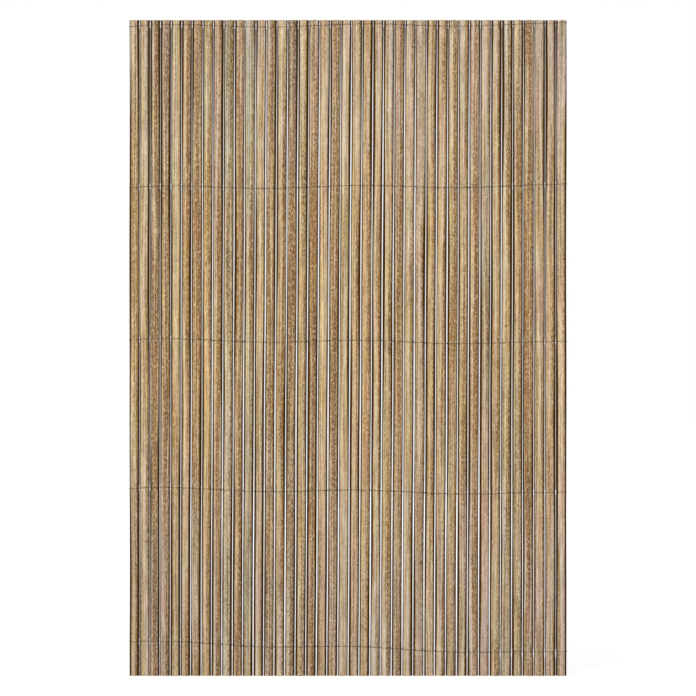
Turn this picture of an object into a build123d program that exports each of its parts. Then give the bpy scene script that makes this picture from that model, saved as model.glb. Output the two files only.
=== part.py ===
from build123d import *
import os
from math import cos, pi, radians, sin, sqrt

# A length of plastic wicker privacy screen. Upright hollow plastic rods stand side by side, and
# five rows of wire hold them: each row is two wires twined in opposite step, one in front of a
# rod while the other is behind it, with half a turn of both in every gap.
# The front faces -Y, the rods run along Z, and the origin is on the ground under the middle.

# Rods: an extruded oval tube, cut square to one length. No two are quite the same width, and
# those of the left half are a little narrower than those of the right half.
rod_count = 41
rod_length = 428.4
rod_width = 6.36
width_spread = 0.16
width_rise = 0.21
rod_depth = 4.6
rod_wall = 0.65
rod_flat_count = 16
bore_flat_count = 12

# Spacing of the rods. A woven mat is never even: its gaps vary, its rods lean a little to the
# right going up, most of all in the middle, and each rod tips by an amount of its own.
rod_gap = 0.62
gap_spread = 0.1
rod_lean = 1.2
rod_tip = 0.03

# Wire: two strands to a row, clear of the rods and of each other at their corners
wire_side = 0.26
wire_to_rod_gap = 0.03
wire_to_wire_gap = 0.06
crossing_slant = 0.3
tail_length = 4.4
tail_slope = 0.2

# Rows of wire. Slip is how far a row has come down from even spacing, and fall is how much
# lower it ends at the right than at the left, both from the bottom row to the top one.
bottom_row_height = 18.5
top_row_margin = 3.4
row_slip = (0.0, -0.5, 3.3, 3.8, 0.0)
row_fall = (7.8, 3.7, 2.3, -1.1, -1.2)
row_wave_height = 0.9
row_wave_length = 125.0
row_wave_start = -53.0

wire_reach = wire_side / sqrt(2)
wire_out = rod_depth / 2 + wire_to_rod_gap + wire_reach
wire_lift = wire_reach + wire_to_wire_gap / 2
last_rod = rod_count - 1
last_row = len(row_slip) - 1


def across(place):
    """Place in the mat, counted in rods, as -1 at the left edge to 1 at the right."""
    return 2 * place / last_rod - 1


def freedom(place):
    """How free a place in the mat is to shift: none at the two edges, all in the middle."""
    return 1 - across(place) ** 2


def own_width(index):
    """Width of one rod."""
    return rod_width + width_rise * across(index) + width_spread * sin(2.4 * index)


def own_gap(index):
    """Mean width of the gap to the right of one rod."""
    return rod_gap + gap_spread * freedom(index + 0.5) * cos(4.1 * index)


def rod_x(index, height):
    """Place of a rod's centre line across the mat, at a height above the ground."""
    before = sum(own_width(other) + own_gap(other) for other in range(index))
    level = mat_left + before + own_width(index) / 2
    upward = 2 * height / rod_length - 1
    return level + freedom(index) * upward * (rod_lean + rod_tip * cos(2.9 * index))


def row_z(row, x):
    """Height of a wire row's middle line, at a place across the mat."""
    spacing = (rod_length - top_row_margin - bottom_row_height) / last_row
    level = bottom_row_height + spacing * row - row_slip[row]
    fall = row_fall[row] * x / mat_width
    wave = row_wave_height * cos(2 * pi * (x - row_wave_start) / row_wave_length)
    return level - fall - wave


def gap_x(index, height):
    """Where the wires pass to the left of a rod: mid-gap, or just outside an end rod."""
    beyond = wire_to_rod_gap + wire_reach
    if index == 0:
        return rod_x(0, height) - own_width(0) / 2 - beyond
    if index == rod_count:
        return rod_x(last_rod, height) + own_width(last_rod) / 2 + beyond
    left_edge = rod_x(index - 1, height) + own_width(index - 1) / 2
    right_edge = rod_x(index, height) - own_width(index) / 2
    return (left_edge + right_edge) / 2


def oval(width, depth, flats):
    """Corner points of an oval outline with a number of narrow flats."""
    angles = [radians(360 * step / flats) for step in range(flats)]
    return [(width / 2 * cos(angle), depth / 2 * sin(angle)) for angle in angles]


def wire_corners(row, first_side):
    """Corner points of one wire of a row. A side of -1 is in front of the rods, 1 is behind."""
    height = row_z(row, 0)
    corners = []
    side = first_side
    for index in range(rod_count):
        left = gap_x(index, height) + (crossing_slant if index > 0 else 0)
        right = gap_x(index + 1, height) - (crossing_slant if index < last_rod else 0)
        corners.append((left, side * wire_out, row_z(row, left) + side * wire_lift))
        corners.append((right, side * wire_out, row_z(row, right) - side * wire_lift))
        side = -side
    return corners


def with_tails(corners):
    """The same corners, with both ends carried round the end rods and laid along their backs."""
    left_x, left_y, left_z = corners[0]
    right_x, right_y, right_z = corners[-1]
    drop = tail_length * tail_slope
    left_tail = [(left_x + tail_length, -left_y, left_z - drop), (left_x, -left_y, left_z)]
    right_tail = [(right_x, -right_y, right_z), (right_x - tail_length, -right_y, right_z + drop)]
    return left_tail + corners + right_tail


def make_rod(index):
    """One rod: the oval drawn at its foot, carried straight to where its top stands."""
    foot_x = rod_x(index, 0)
    rise = Vector(rod_x(index, rod_length) - foot_x, 0, rod_length)
    with BuildPart() as rod:
        with BuildSketch(Plane(origin=(foot_x, 0, 0))):
            Polygon(*oval(own_width(index), rod_depth, rod_flat_count))
            bore_width = own_width(index) - 2 * rod_wall
            bore = oval(bore_width, rod_depth - 2 * rod_wall, bore_flat_count)
            Polygon(*bore, mode=Mode.SUBTRACT)
        extrude(amount=rise.length, dir=rise)
    return rod.part


def make_wire(corners):
    """One wire: its four-sided section swept along the corners, mitred at each."""
    with BuildPart() as wire:
        with BuildLine() as route:
            Polyline(*corners)
        start = Plane(origin=route.line @ 0, x_dir=(0, 1, 0), z_dir=route.line % 0)
        with BuildSketch(start):
            Rectangle(wire_side, wire_side)
        sweep(transition=Transition.RIGHT)
    return wire.part


mat_width = sum(own_width(index) for index in range(rod_count))
mat_width += sum(own_gap(index) for index in range(last_rod))
mat_left = -mat_width / 2

os.makedirs("parts", exist_ok=True)

for index in range(rod_count):
    rod_part = make_rod(index)
    rod_part.label = f"rod_{index + 1:02d}"
    export_step(rod_part, f"parts/{rod_part.label}.step")

for row in range(len(row_slip)):
    front_first = make_wire(with_tails(wire_corners(row, -1)))
    front_first.label = f"row_{row + 1}_wire_a"
    export_step(front_first, f"parts/{front_first.label}.step")
    back_first = make_wire(wire_corners(row, 1))
    back_first.label = f"row_{row + 1}_wire_b"
    export_step(back_first, f"parts/{back_first.label}.step")
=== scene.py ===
from math import cos, hypot, pi, radians, sin

import bpy
import numpy as np
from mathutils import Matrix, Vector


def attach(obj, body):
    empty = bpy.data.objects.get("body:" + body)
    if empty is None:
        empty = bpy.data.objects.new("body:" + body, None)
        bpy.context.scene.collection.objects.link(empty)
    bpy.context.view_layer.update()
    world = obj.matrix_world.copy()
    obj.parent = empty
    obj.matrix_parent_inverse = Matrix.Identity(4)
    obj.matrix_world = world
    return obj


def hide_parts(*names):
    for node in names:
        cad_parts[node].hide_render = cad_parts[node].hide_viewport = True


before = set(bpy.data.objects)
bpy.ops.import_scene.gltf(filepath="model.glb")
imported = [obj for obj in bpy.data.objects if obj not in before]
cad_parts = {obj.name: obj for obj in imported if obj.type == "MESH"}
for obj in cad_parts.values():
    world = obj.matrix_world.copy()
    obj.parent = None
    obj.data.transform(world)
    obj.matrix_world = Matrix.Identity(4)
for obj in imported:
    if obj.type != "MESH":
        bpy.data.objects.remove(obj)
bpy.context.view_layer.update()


# Rods
# Hollow oval tubes of PVC, extruded in one run and sawn to one length. Several colours of
# plastic run side by side in the melt, so each rod is streaked lengthwise like peeled willow,
# and no two rods of a mat are alike.
rod_names = sorted(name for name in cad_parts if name.startswith("rod_"))
row_names = sorted({name.split("_wire_")[0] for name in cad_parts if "_wire_" in name})
rod_width = 0.0064
rod_wall = 0.00065
rim_bevel = 0.00008

# Points round a rod, rings along it and how far these gather towards the rows, and the levels
# at which its line is worked out
outline_points = 28
ring_cuts = 84
ring_gathering = 0.9
level_count = 1200

# Limits that tell the skin from the bore, an end from a side, and the corners at an end or at a
# row from the others
skin_share = 0.98
end_normal = 0.5
end_reach = 0.0005
row_reach = 0.00384

# Between the rows a rod bows and turns a little. A pace is how fast that changes, from row to
# row and from rod to rod.
shared_bow = 0.00010
own_bow = 0.00009
bow_forward = 0.00012
rod_turn = radians(8)
shared_bow_pace = (1.1, 0.3)
own_bow_pace = (0.7, 2.4)
forward_pace = (0.8, 1.7)
turn_pace = (0.9, 3.1)

# It bulges there too, towards its neighbours. The gaps are nearly closed at the sides and the top
# of the mat and open in its middle, and close to a row the wires keep them as they are.
closed_gap = 0.00012
open_gap = 0.00068
least_gap = 0.00005
gap_chance = 0.00022
gap_pace = (1.3, 2.3)
top_closing = 6
pinch_start = 0.0005
pinch_end = 0.0016

# The streaks of each rod are read at another place of one long pattern
pattern_step = 0.9
pattern_margin = 0.1


def node_points(name):
    """Every corner of a CAD node, as rows of x, y, z."""
    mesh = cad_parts[name].data
    points = np.empty(len(mesh.vertices) * 3)
    mesh.vertices.foreach_get("co", points)
    return points.reshape(-1, 3)


def rod_section(points, level):
    """Left and right limit of a rod's corners at its foot or at its top."""
    near = points[np.abs(points[:, 2] - level) < end_reach]
    return near[:, 0].min(), near[:, 0].max()


# Each rod's line and width, and the height of each wire row at each rod, as the solids have them
rod_corners = [node_points(name) for name in rod_names]
rod_depth = np.ptp(rod_corners[0][:, 1])
rod_length = np.ptp(rod_corners[0][:, 2])
rod_lines = []
for corners in rod_corners:
    left, right = rod_section(corners, 0)
    top_left, top_right = rod_section(corners, rod_length)
    rod_lines.append(((left + right) / 2, (top_left + top_right) / 2, right - left))
rod_lines = np.array(rod_lines)

row_heights = []
for row_name in row_names:
    corners = np.concatenate([node_points(f"{row_name}_wire_{letter}") for letter in "ab"])
    heights = []
    for x in rod_lines[:, :2].mean(axis=1):
        near = corners[np.abs(corners[:, 0] - x) < row_reach]
        heights.append((near[:, 2].max() + near[:, 2].min()) / 2)
    row_heights.append(heights)
row_heights = np.array(row_heights)


def pick(piece, kind, wanted):
    """Leave edit mode's selection on the faces, or on the edges, that a test chooses."""
    bpy.ops.object.mode_set(mode="EDIT")
    bpy.ops.mesh.select_mode(type=kind)
    bpy.ops.mesh.select_all(action="DESELECT")
    bpy.ops.object.mode_set(mode="OBJECT")
    if kind == "FACE":
        for face in piece.data.polygons:
            face.select = wanted(face)
    else:
        for edge in piece.data.edges:
            start, end = (piece.data.vertices[index].co for index in edge.vertices)
            edge.select = wanted(start, end)
    bpy.ops.object.mode_set(mode="EDIT")


def faces_an_end(face):
    return abs(face.normal.z) > end_normal


def on_the_skin(spot):
    """Whether a corner lies on the outside of the tube and not on its bore."""
    return hypot(2 * spot.x / rod_width, 2 * spot.y / rod_depth) > skin_share


def on_an_outer_rim(start, end):
    return abs(start.z - end.z) < rim_bevel and on_the_skin(start) and on_the_skin(end)


def runs_lengthwise(start, end):
    return abs(start.z - end.z) > rod_length / 2


# The oval is drawn out to the rod's length, both ends are opened into one bore, the rims lose
# their sharp edge and the sides are cut into short lengths that can bend
bpy.ops.object.select_all(action="DESELECT")
bpy.ops.mesh.primitive_circle_add(vertices=outline_points, radius=0.5, fill_type="NGON")
pattern_rod = bpy.context.object
pattern_rod.name = "pattern_rod"
bpy.ops.object.mode_set(mode="EDIT")
bpy.ops.transform.resize(value=(rod_width, rod_depth, 1))
bpy.ops.mesh.extrude_region_move(TRANSFORM_OT_translate={"value": (0, 0, rod_length)})
bpy.ops.mesh.select_all(action="SELECT")
bpy.ops.mesh.normals_make_consistent(inside=False)
pick(pattern_rod, "FACE", faces_an_end)
bpy.ops.mesh.inset(thickness=rod_wall, use_individual=True)
bpy.ops.mesh.bridge_edge_loops()
pick(pattern_rod, "EDGE", on_an_outer_rim)
bpy.ops.mesh.bevel(offset=rim_bevel, segments=1, affect="EDGES")
pick(pattern_rod, "EDGE", runs_lengthwise)
bpy.ops.mesh.subdivide(number_cuts=ring_cuts)
bpy.ops.object.mode_set(mode="OBJECT")


def make_node(tree, kind, settings=None, **inputs):
    """Add a node, set its properties, and give its inputs a value or a link by name."""
    node = tree.nodes.new(kind)
    for name, value in (settings or {}).items():
        setattr(node, name, value)
    for name, value in inputs.items():
        key = int(name[1:]) if name[0] == "_" else name.replace("_", " ")
        feed(tree, node.inputs[key], value)
    return node


def feed(tree, socket, value):
    """Give an input a value, or a link where the value is another node's output."""
    if isinstance(value, bpy.types.NodeSocket):
        tree.links.new(value, socket)
    else:
        socket.default_value = value


def calculate(tree, operation, *values):
    node = tree.nodes.new("ShaderNodeMath")
    node.operation = operation
    for socket, value in zip(node.inputs, values):
        feed(tree, socket, value)
    return node.outputs[0]


def add_share(tree, total, value, share):
    """A total with a share of one more value added to it."""
    return calculate(tree, "ADD", total, calculate(tree, "MULTIPLY", value, share))


def mean_of(tree, first, second, share):
    """A blend of two values, with a share of the second."""
    return add_share(tree, calculate(tree, "MULTIPLY", first, 1 - share), second, share)


def soft_step(tree, value, low, high, bottom=0.0, top=1.0):
    """A value's smooth rise from bottom to top, between two limits."""
    node = make_node(tree, "ShaderNodeMapRange", {"interpolation_type": "SMOOTHSTEP"},
                     Value=value, From_Min=low, From_Max=high, To_Min=bottom, To_Max=top)
    return node.outputs[0]


def mix_colour(tree, factor, first, second, strength=1):
    """A blend of two colours by a factor, which counts only as far as the strength says."""
    if strength != 1:
        factor = calculate(tree, "MULTIPLY", factor, strength)
    node = tree.nodes.new("ShaderNodeMix")
    node.data_type = "RGBA"
    node.clamp_factor = True
    for position, value in ((0, factor), (6, first), (7, second)):
        feed(tree, node.inputs[position], value)
    return node.outputs[2]


def tint(tree, factor, colour, shade, strength=1):
    """A colour multiplied by a shade, as far as a factor and its strength say."""
    result = mix_colour(tree, factor, colour, shade, strength)
    result.node.blend_type = "MULTIPLY"
    return result


def colour_ramp(tree, value, stops):
    ramp = tree.nodes.new("ShaderNodeValToRGB")
    tree.links.new(value, ramp.inputs[0])
    for _ in stops[2:]:
        ramp.color_ramp.elements.new(0.5)
    for element, (position, colour) in zip(ramp.color_ramp.elements, stops):
        element.position = position
        element.color = colour
    return ramp.outputs[0]


def screen_colour(red, green, blue):
    """A colour as read on screen, turned into the linear values that a shader takes."""
    screen = np.array([red, green, blue]) / 255
    linear = np.where(screen <= 0.04045, screen / 12.92, ((screen + 0.055) / 1.055) ** 2.4)
    return (*linear.tolist(), 1.0)


# Streaks are the one effect that the plastic and the wire share: noise drawn out along the
# piece and turned into a mask with a soft edge
streaks = bpy.data.node_groups.new("streaks", "ShaderNodeTree")
streaks.interface.new_socket("Place", in_out="INPUT", socket_type="NodeSocketVector")
for name in ("Across", "Along", "Shift", "Detail", "Low", "High"):
    streaks.interface.new_socket(name, in_out="INPUT", socket_type="NodeSocketFloat")
streaks.interface.new_socket("Mask", in_out="OUTPUT", socket_type="NodeSocketFloat")
given = streaks.nodes.new("NodeGroupInput").outputs
stretch = make_node(streaks, "ShaderNodeCombineXYZ",
                    X=given["Across"], Y=given["Across"], Z=given["Along"])
scaled = make_node(streaks, "ShaderNodeVectorMath", {"operation": "MULTIPLY"},
                   _0=given["Place"], _1=stretch.outputs[0])
moved = make_node(streaks, "ShaderNodeVectorMath", {"operation": "ADD"},
                  _0=scaled.outputs[0], _1=given["Shift"])
noise = make_node(streaks, "ShaderNodeTexNoise",
                  Vector=moved.outputs[0], Scale=1.0, Detail=given["Detail"])
streaks.links.new(soft_step(streaks, noise.outputs[0], given["Low"], given["High"]),
                  streaks.nodes.new("NodeGroupOutput").inputs["Mask"])


def add_streaks(tree, place, across, along, shift, low, high, detail=1):
    """One use of the streaks, with its own fineness and its own share of the surface."""
    node = tree.nodes.new("ShaderNodeGroup")
    node.node_tree = streaks
    tree.links.new(place, node.inputs["Place"])
    for name, value in (("Across", across), ("Along", along), ("Shift", shift),
                        ("Detail", detail), ("Low", low), ("High", high)):
        node.inputs[name].default_value = value
    return node.outputs["Mask"]


pink_beige = screen_colour(232, 208, 192)
cream = screen_colour(236, 219, 190)
straw = screen_colour(214, 200, 156)
grey_beige = screen_colour(190, 186, 168)
pink_tan = screen_colour(208, 176, 150)
tan = screen_colour(200, 174, 132)
gold = screen_colour(174, 132, 58)
olive_gold = screen_colour(146, 125, 54)
orange_brown = screen_colour(168, 121, 66)
pink_brown = screen_colour(152, 117, 92)
dark_brown = screen_colour(72, 50, 26)
# Dark brown for the fine grain and for the painted shade on the rods' flanks
flank_shade_and_grain_brown = screen_colour(72, 45, 8)
golden_height = 0.235

rod_skin = bpy.data.materials.new("streaked_wicker_plastic")
rod_skin.use_nodes = True
tree = rod_skin.node_tree
shader = tree.nodes["Principled BSDF"]
place = make_node(tree, "ShaderNodeAttribute", {"attribute_name": "grain_place"}).outputs["Vector"]
grain_axes = make_node(tree, "ShaderNodeSeparateXYZ", Vector=place).outputs
sideways = calculate(tree, "MULTIPLY", grain_axes["X"], 2 / rod_width)
rod_number = calculate(tree, "FLOOR", calculate(tree, "DIVIDE", grain_axes["Z"], pattern_step))
chance = make_node(tree, "ShaderNodeTexWhiteNoise", {"noise_dimensions": "1D"}, W=rod_number)
chances = make_node(tree, "ShaderNodeSeparateColor", Color=chance.outputs["Color"]).outputs
mat_place = make_node(tree, "ShaderNodeTexCoord").outputs["Object"]
height = make_node(tree, "ShaderNodeSeparateXYZ", Vector=mat_place).outputs["Z"]
off_middle = calculate(tree, "ABSOLUTE", calculate(tree, "SUBTRACT", height, golden_height))
middle = soft_step(tree, off_middle, 0.20, 0.03)

# The pale side of a rod drifts between pink, cream and grey
pale_drift = add_streaks(tree, place, across=800, along=7, shift=3, low=0.36, high=0.64)
pale_drift = mean_of(tree, pale_drift, chances["Blue"], share=0.3)
pale = colour_ramp(tree, pale_drift, ((0.08, grey_beige), (0.26, pink_beige), (0.40, straw),
                                      (0.54, pink_tan), (0.70, cream), (0.86, tan)))

# The warm side drifts between gold and brown
warm_drift = add_streaks(tree, place, across=800, along=7, shift=23, low=0.36, high=0.64)
warm_drift = mean_of(tree, warm_drift, chances["Green"], share=0.35)
warm = colour_ramp(tree, warm_drift, ((0.10, pink_brown), (0.26, gold), (0.40, olive_gold),
                                      (0.54, orange_brown), (0.68, gold), (0.86, pink_brown)))

# The border between the two sides wanders, is ragged, and lies elsewhere on each rod
wander = add_streaks(tree, place, across=160, along=9, shift=43, low=0.25, high=0.75)
ragged = add_streaks(tree, place, across=1500, along=620, shift=47, low=0.3, high=0.7, detail=2)
border = sideways
for reason, share in ((wander, 0.8), (ragged, 0.5), (chances["Red"], 1.8), (middle, 0.3)):
    border = add_share(tree, border, reason, share)
warm_side = soft_step(tree, border, 1.74, 1.96)
colour = mix_colour(tree, warm_side, pale, warm)

# Each rod has a tone of its own over both sides
own_tone = colour_ramp(tree, chances["Blue"], (
    (0.0, (0.88, 0.97, 0.96, 1)), (0.16, (1.0, 0.92, 1.0, 1)), (0.32, (1.0, 0.93, 0.66, 1)),
    (0.50, (0.98, 1.0, 1.06, 1)), (0.68, (0.98, 0.86, 0.68, 1)), (0.86, (0.88, 0.83, 0.92, 1))))
colour = tint(tree, 1.0, colour, own_tone)

# Narrow streaks and worn patches lie over both
pale_line = add_streaks(tree, place, across=1200, along=8, shift=57, low=0.54, high=0.60)
brown_line = add_streaks(tree, place, across=1300, along=9, shift=51, low=0.52, high=0.58)
patches = add_streaks(tree, place, across=420, along=70, shift=61, low=0.35, high=0.65, detail=2)
golden = add_streaks(tree, place, across=620, along=16, shift=87, low=0.54, high=0.62)
rosy = add_streaks(tree, place, across=620, along=16, shift=93, low=0.54, high=0.62)
colour = mix_colour(tree, pale_line, colour, cream, strength=0.75)
colour = tint(tree, brown_line, colour, (0.54, 0.46, 0.27, 1))
colour = tint(tree, patches, colour, (0.66, 0.60, 0.56, 1), strength=0.7)
colour = tint(tree, golden, colour, (0.98, 0.92, 0.66, 1))
colour = tint(tree, rosy, colour, (0.98, 0.83, 0.84, 1))

# So do specks and a fine grain. Dark specks are thick on some rods, and on the warm side.
dark_speck = add_streaks(tree, place, across=2200, along=560, shift=67, low=0.55, high=0.60)
pale_speck = add_streaks(tree, place, across=2200, along=560, shift=71, low=0.55, high=0.60)
fine = add_streaks(tree, place, across=2600, along=300, shift=83, low=0.30, high=0.70, detail=2)
rod_share = soft_step(tree, chances["Green"], 0.2, 0.9, bottom=0.25)
side_share = soft_step(tree, warm_side, 0, 1, bottom=0.38, top=0.95)
dark_share = calculate(tree, "MULTIPLY", rod_share, side_share)
pale_share = soft_step(tree, warm_side, 0, 1, bottom=0.45, top=0.50)
colour = mix_colour(tree, dark_speck, colour, dark_brown, strength=dark_share)
colour = mix_colour(tree, pale_speck, colour, cream, strength=pale_share)
colour = mix_colour(tree, fine, colour, flank_shade_and_grain_brown, strength=0.16)

# Half way up the mat is more golden, and its foot and its top are greyer. Their darkening is
# painted shade, where less light falls on them.
colour = tint(tree, middle, colour, (1.0, 0.96, 0.74, 1), strength=0.6)
both_ends = calculate(tree, "SUBTRACT", 1, middle)
colour = tint(tree, both_ends, colour, (0.84, 0.88, 0.94, 1), strength=0.5)

# Both flanks are painted dark brown: painted shade between neighbouring rods, where little light
# reaches
flank = calculate(tree, "ABSOLUTE", sideways)
flank_shade_reach = add_streaks(tree, place, across=240, along=5, shift=101, low=0.36, high=0.64)
edges = soft_step(tree, add_share(tree, flank, flank_shade_reach, 0.27), 0.75, 0.95)
colour = mix_colour(tree, edges, colour, flank_shade_and_grain_brown)
roughness = soft_step(tree, fine, 0, 1, bottom=0.45, top=0.65)
gloss = soft_step(tree, edges, 0, 1, bottom=0.35, top=0.0)
ridges = mean_of(tree, fine, dark_speck, share=0.4)
bump = make_node(tree, "ShaderNodeBump", Height=ridges, Strength=0.5, Distance=0.00006)
tree.links.new(colour, shader.inputs["Base Color"])
tree.links.new(roughness, shader.inputs["Roughness"])
tree.links.new(gloss, shader.inputs["Specular IOR Level"])
tree.links.new(bump.outputs[0], shader.inputs["Normal"])

# Sawn rims and the bore show the plain core of the plastic
core_brown = screen_colour(150, 122, 90)
core_beige = screen_colour(176, 150, 116)

sawn_plastic = bpy.data.materials.new("sawn_wicker_plastic")
sawn_plastic.use_nodes = True
tree = sawn_plastic.node_tree
shader = tree.nodes["Principled BSDF"]
place = make_node(tree, "ShaderNodeAttribute", {"attribute_name": "grain_place"}).outputs["Vector"]
saw_marks = add_streaks(tree, place, across=1800, along=1800, shift=5, low=0.35, high=0.65,
                        detail=3)
dust = add_streaks(tree, place, across=500, along=500, shift=9, low=0.45, high=0.7, detail=2)
colour = mix_colour(tree, saw_marks, core_brown, core_beige)
colour = mix_colour(tree, dust, colour, dark_brown, strength=0.5)
roughness = soft_step(tree, saw_marks, 0, 1, bottom=0.55, top=0.75)
bump = make_node(tree, "ShaderNodeBump", Height=saw_marks, Strength=0.4, Distance=0.00005)
tree.links.new(colour, shader.inputs["Base Color"])
tree.links.new(roughness, shader.inputs["Roughness"])
tree.links.new(bump.outputs[0], shader.inputs["Normal"])

pattern_rod.data.materials.append(rod_skin)
pattern_rod.data.materials.append(sawn_plastic)
for face in pattern_rod.data.polygons:
    outward = face.normal.x * face.center.x + face.normal.y * face.center.y
    face.material_index = 1 if faces_an_end(face) or outward <= 0 else 0
bpy.ops.object.shade_smooth_by_angle(angle=radians(40))

base = np.empty(len(pattern_rod.data.vertices) * 3)
pattern_rod.data.vertices.foreach_get("co", base)
base = base.reshape(-1, 3)


def phase(pace, row, number):
    """Angle of a slow wave over the mat, at a place counted in rows and in rods."""
    return pace[0] * row + pace[1] * number


# Each rod follows its own line and bends a little between the rows, which hold it straight
numbers = np.arange(len(rod_names))
row_numbers = np.arange(len(row_names))
foot_x, top_x, widths = rod_lines.T
levels = np.linspace(0, rod_length, level_count)
rows = np.array([np.interp(levels, row_heights[:, number], row_numbers) for number in numbers])
bows = shared_bow * np.cos(phase(shared_bow_pace, rows, numbers[:, None]))
bows += own_bow * np.cos(phase(own_bow_pace, rows, numbers[:, None]))
lines = foot_x[:, None] + (top_x - foot_x)[:, None] * levels / rod_length
lines += np.sin(pi * rows) * bows

# A rod bulges by half of what would bring its gap down to the width wanted there
edges_apart = np.diff(lines, axis=0) - (widths[:-1] + widths[1:])[:, None] / 2
across = lines[:-1] / lines[-1].max()
looseness = (1 - across**2) * (1 - (levels / rod_length) ** top_closing)
wanted = closed_gap + (open_gap - closed_gap) * looseness
wanted += gap_chance * looseness * np.cos(phase(gap_pace, rows[:-1], numbers[:-1, None]))
gap_rows = (row_heights[:, :-1] + row_heights[:, 1:]).T / 2
from_row = np.abs(levels - gap_rows[:, :, None]).min(axis=1)
free = np.clip((from_row - pinch_start) / (pinch_end - pinch_start), 0, 1)
free = free**2 * (3 - 2 * free)
bulge = np.clip(edges_apart - np.maximum(wanted, least_gap), 0, None) / 2 * free
right_bulge = np.vstack([bulge, np.zeros(level_count)])
left_bulge = np.vstack([np.zeros(level_count), bulge])

for number, name in enumerate(rod_names):
    # The rings of the mesh are gathered towards the rows, where its shape changes most
    row = np.interp(base[:, 2], levels, rows[number])
    gathered = row - ring_gathering * np.sin(2 * pi * row) / (2 * pi)
    inside = (base[:, 2] > row_heights[0, number]) & (base[:, 2] < row_heights[-1, number])
    height = np.where(inside, np.interp(gathered, row_numbers, row_heights[:, number]), base[:, 2])
    row = np.interp(height, levels, rows[number])
    wave = np.sin(pi * row)
    push = bow_forward * np.cos(phase(forward_pace, row, number))
    turn = rod_turn * wave * np.sin(phase(turn_pace, row, number))
    out = base[:, 0] / (rod_width / 2)
    side_bulge = np.where(out > 0, np.interp(height, levels, right_bulge[number]),
                          np.interp(height, levels, left_bulge[number]))
    wide = out * (widths[number] / 2 + side_bulge)
    local_x = wide * np.cos(turn) - base[:, 1] * np.sin(turn)
    local_y = wide * np.sin(turn) + base[:, 1] * np.cos(turn)
    line_x = np.interp(height, levels, lines[number])
    shaped = np.stack([line_x + local_x, wave * push + local_y, height], axis=1)
    mesh = pattern_rod.data.copy()
    mesh.vertices.foreach_set("co", shaped.ravel())
    grain = mesh.attributes.new("grain_place", "FLOAT_VECTOR", "POINT")
    laid = np.column_stack([base[:, :2], height + pattern_step * (number + pattern_margin)])
    grain.data.foreach_set("vector", laid.astype(np.float32).ravel())
    rod = bpy.data.objects.new(name + "_streaked", mesh)
    bpy.context.scene.collection.objects.link(rod)
    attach(rod, "root")
    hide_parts(name)
bpy.data.objects.remove(pattern_rod)


# Tie wires
# Five rows of two thin galvanised wires. Each pair is twined as the mat is woven: one wire
# passes in front of a rod and the other behind it, and they change over in the next gap.
wire_radius = 0.00015
wire_clearance = 0.00003
wire_lift = 0.00019
steps_per_rod = 14
crossing_sharpness = 6
tail_turn = 0.55 * pi
tail_drop = 0.0006

wire_brown = screen_colour(46, 36, 24)
tarnish_black = screen_colour(24, 18, 11)
scratch_grey = screen_colour(120, 114, 104)
# Lighter brown for the painted highlight where the wire stands proud of a rod
painted_highlight_brown = screen_colour(104, 88, 64)
hollow_depth = 0.0019
proud_depth = 0.0024

wire_metal = bpy.data.materials.new("weathered_galvanised_wire")
wire_metal.use_nodes = True
tree = wire_metal.node_tree
shader = tree.nodes["Principled BSDF"]
place = make_node(tree, "ShaderNodeTexCoord").outputs["Object"]
tarnish = add_streaks(tree, place, across=420, along=420, shift=2, low=0.4, high=0.6, detail=3)
scratches = add_streaks(tree, place, across=2600, along=2600, shift=8, low=0.4, high=0.6, detail=2)
colour = mix_colour(tree, tarnish, wire_brown, tarnish_black)
colour = mix_colour(tree, scratches, colour, scratch_grey, strength=0.4)

# Where it stands proud of a rod its colour is lightened, a painted highlight, and it turns more
# metallic; in the hollows it keeps its own dark colour
depth = make_node(tree, "ShaderNodeSeparateXYZ", Vector=place).outputs["Y"]
proud = soft_step(tree, calculate(tree, "ABSOLUTE", depth), hollow_depth, proud_depth)
colour = mix_colour(tree, proud, colour, painted_highlight_brown, strength=0.5)
metallic = soft_step(tree, proud, 0, 1, bottom=0.2, top=0.5)
roughness = soft_step(tree, tarnish, 0, 1, bottom=0.40, top=0.65)
bump = make_node(tree, "ShaderNodeBump", Height=scratches, Strength=0.3, Distance=0.00002)
tree.links.new(colour, shader.inputs["Base Color"])
tree.links.new(metallic, shader.inputs["Metallic"])
tree.links.new(roughness, shader.inputs["Roughness"])
tree.links.new(bump.outputs[0], shader.inputs["Normal"])


def wire_points(heights, first_side, with_tails):
    """Points of one wire that goes round the front and the back of the rods by turns."""
    reach = wire_radius + wire_clearance
    row_rise = heights.mean() / rod_length
    middles = rod_lines[:, 0] + (rod_lines[:, 1] - rod_lines[:, 0]) * row_rise
    halves = rod_lines[:, 2] / 2
    last = len(middles) - 1
    points = []
    side = first_side
    for index, (x, half, z) in enumerate(zip(middles, halves, heights)):
        inside = left = right = half + reach
        if index:
            left = (half + x - middles[index - 1] - halves[index - 1]) / 2
        if index < last:
            right = (half + middles[index + 1] - halves[index + 1] - x) / 2
        first_angle = -pi / 2 - (tail_turn if with_tails and index == 0 else 0)
        last_angle = pi / 2 + (tail_turn if with_tails and index == last else 0)
        steps = round(steps_per_rod * (last_angle - first_angle) / pi)
        for step in range(steps + (index == last)):
            angle = first_angle + (last_angle - first_angle) * step / steps
            over = sin(angle)
            spread = right if over > 0 else left
            wide = inside + (spread - inside) * abs(over) ** crossing_sharpness
            fall = tail_drop * max(0, abs(angle) - pi / 2) * (1 if angle < 0 else -1)
            points.append((x + wide * over, side * (rod_depth / 2 + reach) * cos(angle),
                           z - side * wire_lift * over - fall))
        side = -side
    return points


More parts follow.
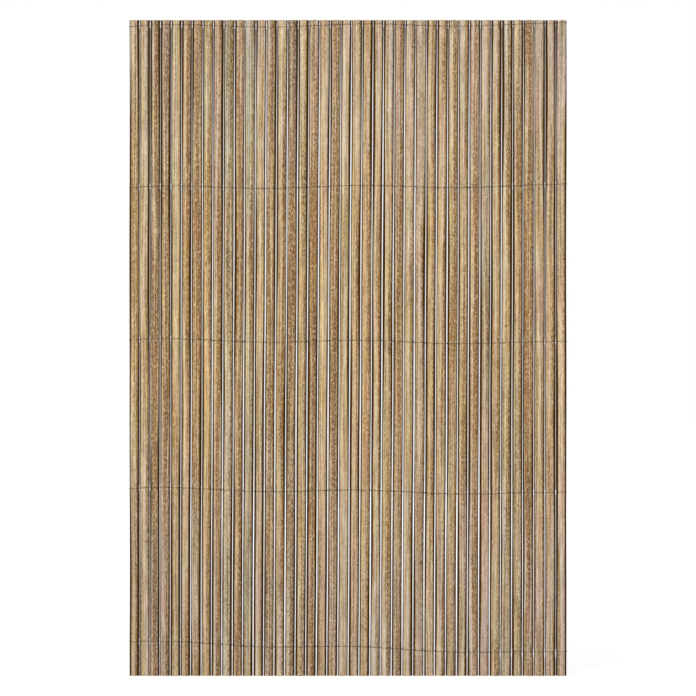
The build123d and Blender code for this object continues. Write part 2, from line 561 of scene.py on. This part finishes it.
for row_name, heights in zip(row_names, row_heights):
    for letter, first_side in (("a", -1), ("b", 1)):
        route = bpy.data.curves.new(f"{row_name}_route_{letter}", "CURVE")
        route.dimensions = "3D"
        route.bevel_depth = wire_radius
        route.bevel_resolution = 2
        route.use_fill_caps = True
        points = wire_points(heights, first_side, letter == "a")
        spline = route.splines.new("POLY")
        spline.points.add(len(points) - 1)
        for point, spot in zip(spline.points, points):
            point.co = (*spot, 1)
        wire = bpy.data.objects.new(f"{row_name}_twined_{letter}", route)
        bpy.context.scene.collection.objects.link(wire)
        bpy.ops.object.select_all(action="DESELECT")
        wire.select_set(True)
        bpy.context.view_layer.objects.active = wire
        bpy.ops.object.convert(target="MESH")
        wire = bpy.context.object
        wire.data.materials.clear()
        wire.data.materials.append(wire_metal)
        bpy.ops.object.shade_smooth_by_angle(angle=radians(50))
        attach(wire, "root")
        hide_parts(f"{row_name}_wire_{letter}")


# Studio
# A white floor and a white surround, a broad soft lamp to the front left, two weaker ones to the
# front right and behind, and a long lens level with the middle of the mat.
floor_size = 12
near_glow = 0.58
far_glow = 0.82
glow_start = 0.5
glow_end = 3.0
ambient = 0.25


def rays_to_the_eye(tree):
    """1 for rays that the camera sees straight, mirrored or through something, 0 for others."""
    rays = make_node(tree, "ShaderNodeLightPath").outputs
    seen = calculate(tree, "MAXIMUM", rays["Is Camera Ray"], rays["Is Glossy Ray"])
    return calculate(tree, "MAXIMUM", seen, rays["Is Transmission Ray"])


# The paper glows only for the eye, so that it looks white and still keeps the mat's shadow
paper = bpy.data.materials.new("white_paper")
paper.use_nodes = True
tree = paper.node_tree
shader = tree.nodes["Principled BSDF"]
shader.inputs["Base Color"].default_value = (0.80, 0.80, 0.80, 1)
shader.inputs["Roughness"].default_value = 0.9
shader.inputs["Emission Color"].default_value = (1, 1, 1, 1)
floor_place = make_node(tree, "ShaderNodeTexCoord").outputs["Object"]
from_mat = make_node(tree, "ShaderNodeVectorMath", {"operation": "LENGTH"}, _0=floor_place)
glow = soft_step(tree, from_mat.outputs["Value"], glow_start, glow_end, near_glow, far_glow)
tree.links.new(calculate(tree, "MULTIPLY", rays_to_the_eye(tree), glow),
               shader.inputs["Emission Strength"])

bpy.ops.object.select_all(action="DESELECT")
bpy.ops.mesh.primitive_plane_add(size=floor_size, location=(0, 0, 0))
floor = bpy.context.object
floor.name = "floor"
floor.data.materials.append(paper)

world = bpy.data.worlds.new("surround")
bpy.context.scene.world = world
world.use_nodes = True
tree = world.node_tree
background = tree.nodes["Background"]
background.inputs["Color"].default_value = (1, 1, 1, 1)
tree.links.new(add_share(tree, ambient, rays_to_the_eye(tree), 1 - ambient),
               background.inputs["Strength"])


def add_lamp(name, spot, size, power):
    """A square soft lamp that faces the middle of the mat."""
    bpy.ops.object.light_add(type="AREA", location=spot)
    lamp = bpy.context.object
    lamp.name = name
    lamp.data.shape = "SQUARE"
    lamp.data.size = size
    lamp.data.energy = power
    direction = Vector((0, 0, rod_length / 2)) - Vector(spot)
    lamp.rotation_euler = direction.to_track_quat("-Z", "Y").to_euler()


add_lamp("front_left_lamp", (-1.2, -2.0, 1.05), size=0.9, power=38)
add_lamp("front_right_lamp", (1.5, -2.0, 0.5), size=1.2, power=16)
add_lamp("back_lamp", (0.8, 2.0, 1.2), size=1.2, power=16)

# The mat takes up as much of the height of the frame as it does in the photograph
photo_pixels = 696
mat_pixels = 656
lens = 150
sensor = 36
frame_width = rod_length * photo_pixels / mat_pixels
camera_data = bpy.data.cameras.new("camera")
camera_data.lens = lens
camera_data.sensor_width = sensor
camera_data.clip_start = 0.05
camera = bpy.data.objects.new("camera", camera_data)
bpy.context.scene.collection.objects.link(camera)
camera.location = (0, -rod_depth / 2 - frame_width * lens / sensor, rod_length / 2)
camera.rotation_euler = (pi / 2, 0, 0)
bpy.context.scene.camera = camera
bpy.context.scene.view_settings.view_transform = "Standard"
